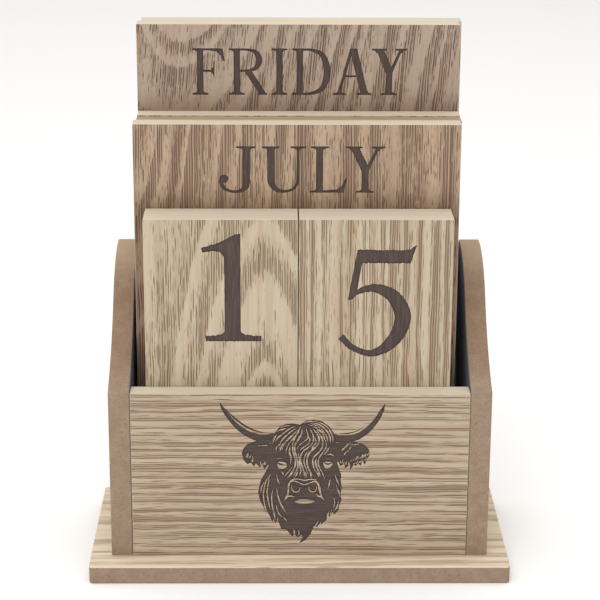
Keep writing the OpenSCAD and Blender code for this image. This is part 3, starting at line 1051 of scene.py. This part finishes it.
# Each glyph: width and its shapes. Two shapes may overlap.
GLYPHS = {
    "A": (0.84, [[(0.37, 1.0), (0.44, 1.0), (0.165, 0.03), (0.11, 0.03)],
                 [(0.38, 1.0), (0.52, 1.0), (0.765, 0.03), (0.605, 0.03), (0.38, 0.91)],
                 bar(0.22, 0.385, 0.64, 0.425), serif(0.115, 0.165, 0.115, 0.12, 0, 1),
                 serif(0.61, 0.76, 0.09, 0.08, 0, 1)]),
    "B": (0.76, [*stem(0.1, foot=(0.1, 0), head=(0.1, 0)),
                 stroke((0.2, 0.977, 0.045), (0.40, 0.972, 0.05), (0.55, 0.915, 0.09), (0.61, 0.76, 0.135),
                        (0.54, 0.60, 0.09), (0.40, 0.54, 0.05), (0.2, 0.53, 0.045)),
                 stroke((0.2, 0.53, 0.045), (0.42, 0.527, 0.05), (0.61, 0.455, 0.10), (0.685, 0.28, 0.145),
                        (0.61, 0.09, 0.10), (0.42, 0.026, 0.05), (0.2, 0.023, 0.045))]),
    "C": (0.80, [stroke((0.73, 0.72, 0.03), (0.67, 0.87, 0.05), (0.48, 0.967, 0.06), (0.24, 0.87, 0.11),
                        (0.08, 0.5, 0.15), (0.24, 0.12, 0.11), (0.48, 0.03, 0.06), (0.68, 0.12, 0.05),
                        (0.77, 0.27, 0.035)),
                 [(0.72, 0.99), (0.75, 0.99), (0.76, 0.67), (0.73, 0.67), (0.68, 0.82), (0.60, 0.92)]]),
    "D": (0.83, [*stem(0.1, foot=(0.1, 0), head=(0.1, 0)),
                 stroke((0.2, 0.977, 0.045), (0.42, 0.967, 0.06), (0.66, 0.85, 0.115), (0.76, 0.5, 0.148),
                        (0.66, 0.15, 0.115), (0.42, 0.033, 0.06), (0.2, 0.023, 0.045))]),
    "E": (0.76, [*stem(0.1, foot=(0.1, 0), head=(0.1, 0)), bar(0.2, 0.955, 0.4, 1.0), TOP_BEAK, MID_BEAK,
                 LOW_BEAK]),
    "F": (0.70, [*stem(0.1, head=(0.1, 0)), bar(0.2, 0.955, 0.4, 1.0), TOP_BEAK, MID_BEAK]),
    "G": (0.88, [stroke((0.73, 0.72, 0.03), (0.67, 0.87, 0.05), (0.48, 0.967, 0.06), (0.24, 0.87, 0.11),
                        (0.08, 0.5, 0.15), (0.24, 0.12, 0.11), (0.47, 0.03, 0.06), (0.66, 0.07, 0.07),
                        (0.74, 0.16, 0.08)),
                 [(0.72, 0.99), (0.75, 0.99), (0.76, 0.67), (0.73, 0.67), (0.68, 0.82), (0.60, 0.92)],
                 *stem(0.64, y1=0.44, y0=0.08, foot=None, head=(0.1, 0.1))]),
    "H": (0.92, [*stem(0.1), *stem(0.68), bar(0.2, 0.485, 0.7, 0.53)]),
    "I": (0.338, stem(0.1)),
    "J": (0.705, [*stem(0.468, y0=0.2, foot=None, head=(0.13, 0.1)),
                  stroke((0.537, 0.28, 0.138), (0.52, 0.13, 0.12), (0.42, 0.035, 0.07),
                         (0.26, 0.022, 0.055), (0.11, 0.09, 0.065), (0.045, 0.22, 0.08),
                         (0.06, 0.32, 0.08)),
                  disc(0.10, 0.30, 0.088)]),
    "L": (0.72, [*stem(0.12, foot=(0.12, 0), head=(0.1, 0.11)),
                 [(0.22, 0.0), (0.66, 0.0), (0.718, 0.31), (0.69, 0.31), (0.62, 0.15), (0.53, 0.07),
                  (0.22, 0.045)]]),
    "M": (1.08, [bar(0.15, 0.0, 0.15 + HAIR, 1.0), serif(0.15, 0.202, 0.13, 0.12, 0, 1),
                 bar(0.02, 0.965, 0.2, 1.0),
                 [(0.12, 1.0), (0.29, 1.0), (0.59, 0.22), (0.53, 0.0)], [(0.53, 0.0), (0.56, 0.0),
                                                                         (0.90, 1.0), (0.83, 1.0)],
                 *stem(0.81, head=(0.0, 0.1))]),
    "N": (0.95, [bar(0.14, 0.0, 0.14 + HAIR, 1.0), serif(0.14, 0.192, 0.13, 0.13, 0, 1),
                 bar(0.0, 0.965, 0.2, 1.0),
                 [(0.08, 1.0), (0.27, 1.0), (0.82, 0.14), (0.82, 0.0),
                  (0.76, 0.0)], bar(0.768, 0.0, 0.82, 1.0),
                 serif(0.768, 0.82, 0.13, 0.13, 1, -1)]),
    "O": (0.88, oval(0.44, 0.5, 0.44, 0.51, 0.15, 0.055)),
    "P": (0.72, [*stem(0.1, head=(0.1, 0)),
                 stroke((0.2, 0.977, 0.045), (0.42, 0.972, 0.05), (0.58, 0.91, 0.10), (0.645, 0.73, 0.145),
                        (0.58, 0.54, 0.10), (0.42, 0.475, 0.05), (0.2, 0.465, 0.045))]),
    "R": (0.82, [*stem(0.1, head=(0.1, 0)),
                 stroke((0.2, 0.977, 0.045), (0.40, 0.972, 0.05), (0.58, 0.915, 0.10), (0.65, 0.75, 0.145),
                        (0.58, 0.585, 0.10), (0.43, 0.53, 0.05), (0.2, 0.515, 0.045)),
                 [(0.32, 0.53), (0.475, 0.54), (0.80, 0.03),
                  (0.64, 0.03)], serif(0.67, 0.78, 0.05, 0.04, 0, 1, bracket=0.02)]),
    "S": (0.60, [stroke((0.525, 0.74, 0.03), (0.47, 0.89, 0.05), (0.31, 0.967, 0.06), (0.14, 0.89, 0.10),
                        (0.115, 0.72, 0.135), (0.27, 0.56, 0.15), (0.46, 0.42, 0.145), (0.50, 0.22, 0.125),
                        (0.38, 0.06, 0.08), (0.22, 0.032, 0.055), (0.09, 0.12, 0.05), (0.03, 0.28, 0.03)),
                 [(0.50, 0.99), (0.53, 0.99), (0.55, 0.70), (0.52, 0.70), (0.46, 0.87)],
                 [(0.05, 0.01), (0.02, 0.01), (0.0, 0.32), (0.03, 0.32), (0.09, 0.14)]]),
    "T": (0.80, [*stem(0.33, head=None), bar(0.05, 0.955, 0.75, 1.0),
                 [(0.34, 1.0), (0.045, 1.0), (0.0, 0.725), (0.035, 0.725), (0.09, 0.845), (0.17, 0.925),
                  (0.34, 0.955)],
                 [(0.46, 1.0), (0.755, 1.0), (0.80, 0.725), (0.765, 0.725), (0.71, 0.845), (0.63, 0.925),
                  (0.46, 0.955)]]),
    "U": (0.86, [*stem(0.10, y0=0.3, foot=None, head=(0.1, 0.1)),
                 *stem(0.67, width=HAIR, y0=0.3, foot=None, head=(0.12, 0.13)),
                 stroke((0.169, 0.36, 0.138), (0.185, 0.2, 0.13), (0.28, 0.065, 0.095), (0.44, 0.028, 0.06),
                        (0.59, 0.075, 0.055), (0.68, 0.2, 0.052), (0.696, 0.36, HAIR))]),
    "V": (0.84, [[(0.08, 1.0), (0.245, 1.0), (0.475, 0.17), (0.42, 0.0)],
                 [(0.40, 0.0), (0.455, 0.0), (0.745, 1.0), (0.685, 1.0)],
                 serif(0.085, 0.24, 0.08, 0.09, 1, -1), serif(0.69, 0.74, 0.12, 0.10, 1, -1)]),
    "W": (1.22, [[(0.07, 1.0), (0.225, 1.0), (0.43, 0.2), (0.375, 0.0)],
                 [(0.36, 0.0), (0.41, 0.0), (0.63, 0.88), (0.585, 0.95)],
                 [(0.49, 1.0), (0.65, 1.0), (0.86, 0.2), (0.80, 0.0)],
                 [(0.785, 0.0), (0.835, 0.0), (1.12, 1.0), (1.06, 1.0)],
                 serif(0.075, 0.22, 0.075, 0.09, 1, -1), serif(0.495, 0.64, 0.07, 0.08, 1, -1),
                 serif(1.065, 1.115, 0.12, 0.105, 1, -1)]),
    "Y": (0.76, [[(0.08, 1.0), (0.245, 1.0), (0.45, 0.55), (0.45, 0.40), (0.31, 0.46)],
                 [(0.60, 1.0), (0.665, 1.0), (0.44, 0.46), (0.38, 0.50)], *stem(0.31, y1=0.5, head=None),
                 serif(0.095, 0.235, 0.095, 0.09, 1, -1), serif(0.60, 0.655, 0.10, 0.105, 1, -1)]),
    "0": (0.62, oval(0.31, 0.5, 0.31, 0.51, 0.145, 0.05)),
    "1": (0.525, [[(0.0, 0.871), (0.143, 0.911), (0.225, 0.954), (0.30, 0.993), (0.347, 1.0), (0.347, 0.05),
                   (0.204, 0.05), (0.204, 0.76), (0.193, 0.80), (0.165, 0.83), (0.11, 0.842),
                   (0.01, 0.825)],
                  serif(0.204, 0.347, 0.17, 0.185, 0, 1, 0.05, 0.05)]),
    "2": (0.57, [stroke((0.06, 0.74, 0.09), (0.10, 0.88, 0.06), (0.26, 0.962, 0.075), (0.43, 0.88, 0.125),
                        (0.46, 0.70, 0.135), (0.35, 0.46, 0.10), (0.19, 0.24, 0.075), (0.05, 0.07, 0.065)),
                 [(0.02, 0.0), (0.51, 0.0), (0.57, 0.27), (0.54, 0.27), (0.46, 0.125), (0.13, 0.115),
                  (0.02, 0.05)]]),
    "3": (0.55, [stroke((0.05, 0.79, 0.05), (0.12, 0.92, 0.06), (0.27, 0.967, 0.07), (0.41, 0.88, 0.115),
                        (0.40, 0.70, 0.115), (0.27, 0.565, 0.06), (0.17, 0.545, 0.05)),
                 stroke((0.2, 0.555, 0.05), (0.39, 0.50, 0.09), (0.475, 0.31, 0.145), (0.39, 0.09, 0.10),
                        (0.22, 0.03, 0.06), (0.07, 0.09, 0.055), (0.03, 0.2, 0.055))]),
    "4": (0.62, [*stem(0.36, width=0.143, head=None),
                 [(0.36, 1.0), (0.503, 1.0), (0.43, 0.93), (0.10, 0.34), (0.01, 0.30)],
                 bar(0.01, 0.255, 0.62, 0.325)]),
    "5": (0.70, [[(0.17, 1.0), (0.593, 0.996), (0.64, 1.008), (0.696, 1.048), (0.641, 0.874),
                  (0.205, 0.877)],
                 [(0.17, 1.0), (0.215, 0.90), (0.168, 0.60), (0.13, 0.538), (0.09, 0.534)],
                 stroke((0.11, 0.56, 0.035), (0.19, 0.615, 0.05), (0.335, 0.645, 0.08), (0.50, 0.56, 0.125),
                        (0.583, 0.37, 0.145), (0.50, 0.155, 0.12), (0.32, 0.033, 0.065),
                        (0.14, 0.085, 0.058), (0.03, 0.19, 0.062))]),
    "6": (0.60, SIX),
    "7": (0.57, [bar(0.03, 0.872, 0.56, 1.0), [(0.03, 1.0), (0.10, 0.90), (0.035, 0.70), (0.0, 0.70)],
                 [(0.43, 0.90), (0.56, 0.94), (0.29, 0.0), (0.14, 0.0)]]),
    "8": (0.58, [*oval(0.29, 0.765, 0.225, 0.245, 0.115, 0.05),
                 *oval(0.29, 0.275, 0.29, 0.285, 0.145, 0.05)]),
    "9": (0.60, flipped(SIX, 0.60)),
}

# Letters stand a little closer beside a leaning one, and some pairs have a gap of their own
LEANING = {"A", "V", "W", "Y"}
KERNING = {"AY": 0.0, "DA": 0.05, "LY": -0.03, "AT": 0.0, "FR": 0.09, "JU": 0.13, "UL": 0.06}


def word_shapes(text, cap_height, stretch):
    """The shapes of a word, centred in X on 0 with its feet on 0, in millimetres."""
    shapes, x, before = [], 0.0, None
    for letter in text:
        if before:
            gap = 0.05 if before in LEANING or letter in LEANING else 0.1
            x += KERNING.get(before + letter, gap)
        width, parts = GLYPHS[letter]
        shapes += [[(x + a, b) for a, b in part] for part in parts]
        x += width
        before = letter
    return [[((a - x / 2) * cap_height * stretch, b * cap_height) for a, b in shape] for shape in shapes]


# ---- Tiles -----------------------------------------------------------------------------------
# Nine loose tiles of pale timber with a veneer leaf glued on each face. Each face carries
# one label at its top end and one upside down at its bottom end, so a tile has four.

# For each kind of label, in millimetres: cap height, how far it is stretched in width, and
# how far its feet are from the end of the tile
CAPS = {"day": (17.8, 0.988, 27.0), "month": (17.7, 1.094, 26.0), "digit": (41.9, 1.0, 47.3)}
LONGEST_WORD = 104


def tile_labels(kind, upper, lower, height):
    """The marks of one face in millimetres from its middle. Each label is its text, and how
    far its feet are below the end of the tile and its middle is to the right."""
    cap, stretch, _ = CAPS[kind]
    marks = []
    for (text, drop, shift), turned in ((upper, False), (lower, True)):
        shapes = word_shapes(text, cap, stretch)
        length = 2 * max(x for shape in shapes for x, y in shape)
        squeeze = min(1.0, LONGEST_WORD / length)
        for i, shape in enumerate(shapes):
            at = [(x * squeeze + shift, y + height / 2 - drop) for x, y in shape]
            at = frayed(at, 0.4, (0.05, 0.4 if kind == "digit" else 0.14), i + 7 * len(text))
            if turned:
                at = [(-x, -y) for x, y in at]
            marks.append((at, True))
    return marks


burnt_tile = burnt_material("burnt_tile", ALONG_Z_UPRIGHT)
TILES = {
    "number_tile_left_front": ("digit", ("1", "2"), ("3", "0")),
    "number_tile_right_front": ("digit", ("5", "6"), ("7", "3")),
    "number_tile_left_back": ("digit", ("2", "0"), ("1", "4")),
    "number_tile_right_back": ("digit", ("8", "9"), ("2", "1")),
    "month_tile_front": ("month", ("JULY", "AUGUST"), ("MARCH", "APRIL")),
    "month_tile_middle": ("month", ("JANUARY", "FEBRUARY"), ("MAY", "JUNE")),
    "month_tile_back": ("month", ("SEPTEMBER", "OCTOBER"), ("NOVEMBER", "DECEMBER")),
    "day_tile_front": ("day", ("FRIDAY", "SATURDAY"), ("SUNDAY", "MONDAY")),
    "day_tile_back": ("day", ("TUESDAY", "WEDNESDAY"), ("THURSDAY", "SUNDAY")),
}
# How each label in sight sits on its tile: its drop and its shift to the right
SET_BY_HAND = {"1": (47.3, 3.8), "5": (53.4, 0.6), "FRIDAY": (27.0, 0.6), "JULY": (26.05, 1.8)}
# The figure of each front leaf in sight, and for the day and month leaves the height below which they get
# painted shade
FIGURES = {
    "number_tile_left_front": dict(
        heart=16.0, depth=4.0, foot=45.0, taper=0.5, reach=24.0, ring=15.0, wander=3.0, seed=1.0,
        porous=0.02,
    ),
    "number_tile_right_front": dict(
        heart=-46.0, depth=5.0, taper=0.02, ring=4.4, wander=3.0, seed=19.4, porous=0.08,
        warm=linear(162, 140, 114), dark=linear(112, 85, 64),
    ),
    "month_tile_front": dict(
        heart=-68.0, depth=8.0, taper=-0.5, reach=26.0, ring=13.0, wander=6.0, seed=14.0,
        run=6.0, porous=0.11, dull_z=136.0,
        pale=linear(180, 158, 134), warm=linear(148, 123, 103), dark=linear(86, 63, 48),
    ),
    "day_tile_front": dict(
        heart=-52.0, depth=20.0, foot=60.0, taper=-0.42, reach=62.0, ring=7.5, wander=6.0, seed=21.0,
        lean=5, run=5.0, porous=0.05, dull_z=168.0,
        pale=linear(176, 158, 140), warm=linear(144, 123, 106), dark=linear(84, 60, 48),
    ),
}

for number, (tile, (kind, *faces)) in enumerate(TILES.items()):
    low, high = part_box(tile + "_core")
    core = eased(cad_mesh(tile + "_core", tile + "_core"), corner_round * MM, 3,
                 which=lambda at: abs(at.y - (low.y + high.y) / 2) < 1 * MM)
    timber = tan_timber if tile == "month_tile_middle" else pale_timber
    face_materials(core, [timber])
    new_piece(tile + "_board", core, tile, "pale_core", tile + "_core")
    for side, texts in zip(("face", "reverse"), faces):
        node = tile + "_" + side
        low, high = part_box(node)
        height = (high.z - low.z) / MM
        drop = CAPS[kind][2]
        labels = [(text, *(SET_BY_HAND.get(text, (drop, 0.0)))) for text in texts]
        marks = tile_labels(kind, *labels, height)
        seed = 40.0 + 7.3 * number + (3.1 if side == "reverse" else 0.0)
        figure = dict(heart=12 * math.sin(seed), depth=15.0, taper=0.12, ring=5.0, wander=8.0, seed=seed)
        if side == "face":
            figure = dict(FIGURES.get(tile, figure))
        turn = (*ALONG_Z_UPRIGHT[:2], math.radians(figure.pop("lean", 0)))
        leaf = leaf_material(node + "_leaf", turn, tuple((low + high) / 2), **figure)
        mesh = engraved_leaf(node, low, high, side == "reverse", marks, (leaf, burnt_tile, timber))
        new_piece(node + "_sheet", mesh, tile, "tile_veneer", node)


# ---- Screws --------------------------------------------------------------------------------
# Four zinc-plated countersunk screws hold the base board to the side panels. Each is a
# turned blank with a rolled thread and a cross recess, set once and repeated by a grid.
zinc, tree, shader = new_material("zinc_plate")
place = add_node(tree, "TexCoord").outputs["Object"]
grain = noise_value(tree, stretched(tree, place, (1.0, 1.0, 4.0)), 900.0, 3.0, 0.6)
plated = mixed(tree, grain, (0.55, 0.55, 0.52, 1), (0.74, 0.74, 0.7, 1))
tree.links.new(plated, shader.inputs["Base Color"])
tree.links.new(math_node(tree, "MULTIPLY_ADD", grain, 0.2, 0.25), shader.inputs["Roughness"])
shader.inputs["Metallic"].default_value = 1.0
bumped(tree, shader, grain, 0.02 * MM)

head_radius, shank_radius, tip_radius = 3.0 * MM, 1.4 * MM, 0.2 * MM
head_height, tip_height = 1.8 * MM, 2.0 * MM
screw_length = screw_high.z - screw_low.z
pitch, thread_depth = 1.1 * MM, 0.3 * MM
around = 32

# Each level is a radius and a height, and None is the thread's own radius there
shape = bmesh.new()
levels = [(head_radius * 0.97, 0.0), (head_radius, 0.1 * MM), (shank_radius, head_height)]
thread_rows = 56
for i in range(1, thread_rows + 1):
    z = head_height + (screw_length - tip_height - head_height) * i / thread_rows
    levels.append((None, z))
levels.append((tip_radius, screw_length))
rows = []
for radius, z in levels:
    row = []
    for k in range(around):
        a = 2 * math.pi * k / around
        turn = (z / pitch - k / around) % 1.0
        groove = thread_depth * min(1.0, 2.2 * min(turn, 1 - turn))
        wall = shank_radius - groove if radius is None else radius
        row.append(shape.verts.new((wall * math.cos(a), wall * math.sin(a), z)))
    rows.append(row)
for lower, upper in zip(rows, rows[1:]):
    for k in range(around):
        shape.faces.new((lower[k], lower[(k + 1) % around], upper[(k + 1) % around], upper[k]))
shape.faces.new(reversed(rows[0]))
shape.faces.new(rows[-1])
blank = bpy.data.meshes.new("screw_blank")
shape.to_mesh(blank)
shape.free()

recess = bmesh.new()
arm_middle = 0.78 * MM
arm_level = 0.2 * MM
arm_size = (1.64 * MM, 0.7 * MM, 1.5 * MM, 1)
for turn in (0, 90):
    for end in (-1, 1):
        arm = (
            Matrix.Rotation(math.radians(turn), 4, "Z")
            @ Matrix.Translation((end * arm_middle, 0, arm_level))
            @ Matrix.Diagonal(arm_size)
        )
        bmesh.ops.create_cube(recess, size=1.0, matrix=arm)
recess_mesh = bpy.data.meshes.new("screw_recess")
recess.to_mesh(recess_mesh)
recess.free()
cutter = bpy.data.objects.new("screw_recess", recess_mesh)
bpy.context.scene.collection.objects.link(cutter)
cut = {"object": cutter, "operation": "DIFFERENCE", "solver": "EXACT", "use_self": True}
screw_mesh = baked(blank, ("BOOLEAN", cut))
bpy.data.objects.remove(cutter)
screw_mesh.shade_smooth()
screw_mesh.set_sharp_from_angle(angle=math.radians(35))
one_screw = bpy.data.objects.new("one_screw", screw_mesh)
bpy.context.scene.collection.objects.link(one_screw)

layout = bpy.data.node_groups.new("screws_in_a_grid", "GeometryNodeTree")
for label, kind in (("Width", "Float"), ("Depth", "Float"), ("Place", "Vector"), ("Screw", "Object"),
                    ("Finish", "Material")):
    layout.interface.new_socket(label, in_out="INPUT", socket_type="NodeSocket" + kind)
layout.interface.new_socket("Geometry", in_out="OUTPUT", socket_type="NodeSocketGeometry")
given = layout.nodes.new("NodeGroupInput").outputs
result = layout.nodes.new("NodeGroupOutput").inputs
grid = layout.nodes.new("GeometryNodeMeshGrid")
grid.inputs["Vertices X"].default_value = 2
grid.inputs["Vertices Y"].default_value = 2
moved = layout.nodes.new("GeometryNodeTransform")
source = layout.nodes.new("GeometryNodeObjectInfo")
copies = layout.nodes.new("GeometryNodeInstanceOnPoints")
real = layout.nodes.new("GeometryNodeRealizeInstances")
finish_node = layout.nodes.new("GeometryNodeSetMaterial")
for out, into in (
    (given["Width"], grid.inputs["Size X"]), (given["Depth"], grid.inputs["Size Y"]),
    (grid.outputs["Mesh"], moved.inputs["Geometry"]), (given["Place"], moved.inputs["Translation"]),
    (given["Screw"], source.inputs["Object"]), (moved.outputs["Geometry"], copies.inputs["Points"]),
    (source.outputs["Geometry"], copies.inputs["Instance"]),
    (copies.outputs["Instances"], real.inputs["Geometry"]),
    (real.outputs["Geometry"], finish_node.inputs["Geometry"]),
    (given["Finish"], finish_node.inputs["Material"]),
    (finish_node.outputs["Geometry"], result["Geometry"]),
):
    layout.links.new(out, into)
holder = bpy.data.objects.new("screws_holder", bpy.data.meshes.new("screws_holder"))
bpy.context.scene.collection.objects.link(holder)
laid_out = holder.modifiers.new("screws", "NODES")
laid_out.node_group = layout
middle = (screw_low + screw_high) / 2
values = {
    "Width": screw_high.x - screw_low.x - 2 * head_radius,
    "Depth": screw_high.y - screw_low.y - 2 * head_radius,
    "Place": (middle.x, middle.y, screw_low.z), "Screw": one_screw, "Finish": zinc,
}
for item in layout.interface.items_tree:
    if item.in_out == "INPUT":
        laid_out[item.identifier] = values[item.name]
screws_mesh = bpy.data.meshes.new_from_object(holder.evaluated_get(bpy.context.evaluated_depsgraph_get()))
bpy.data.objects.remove(holder)
bpy.data.objects.remove(one_screw)
new_piece("base_screw_set", screws_mesh, "box", "screw_steel", "base_screws")
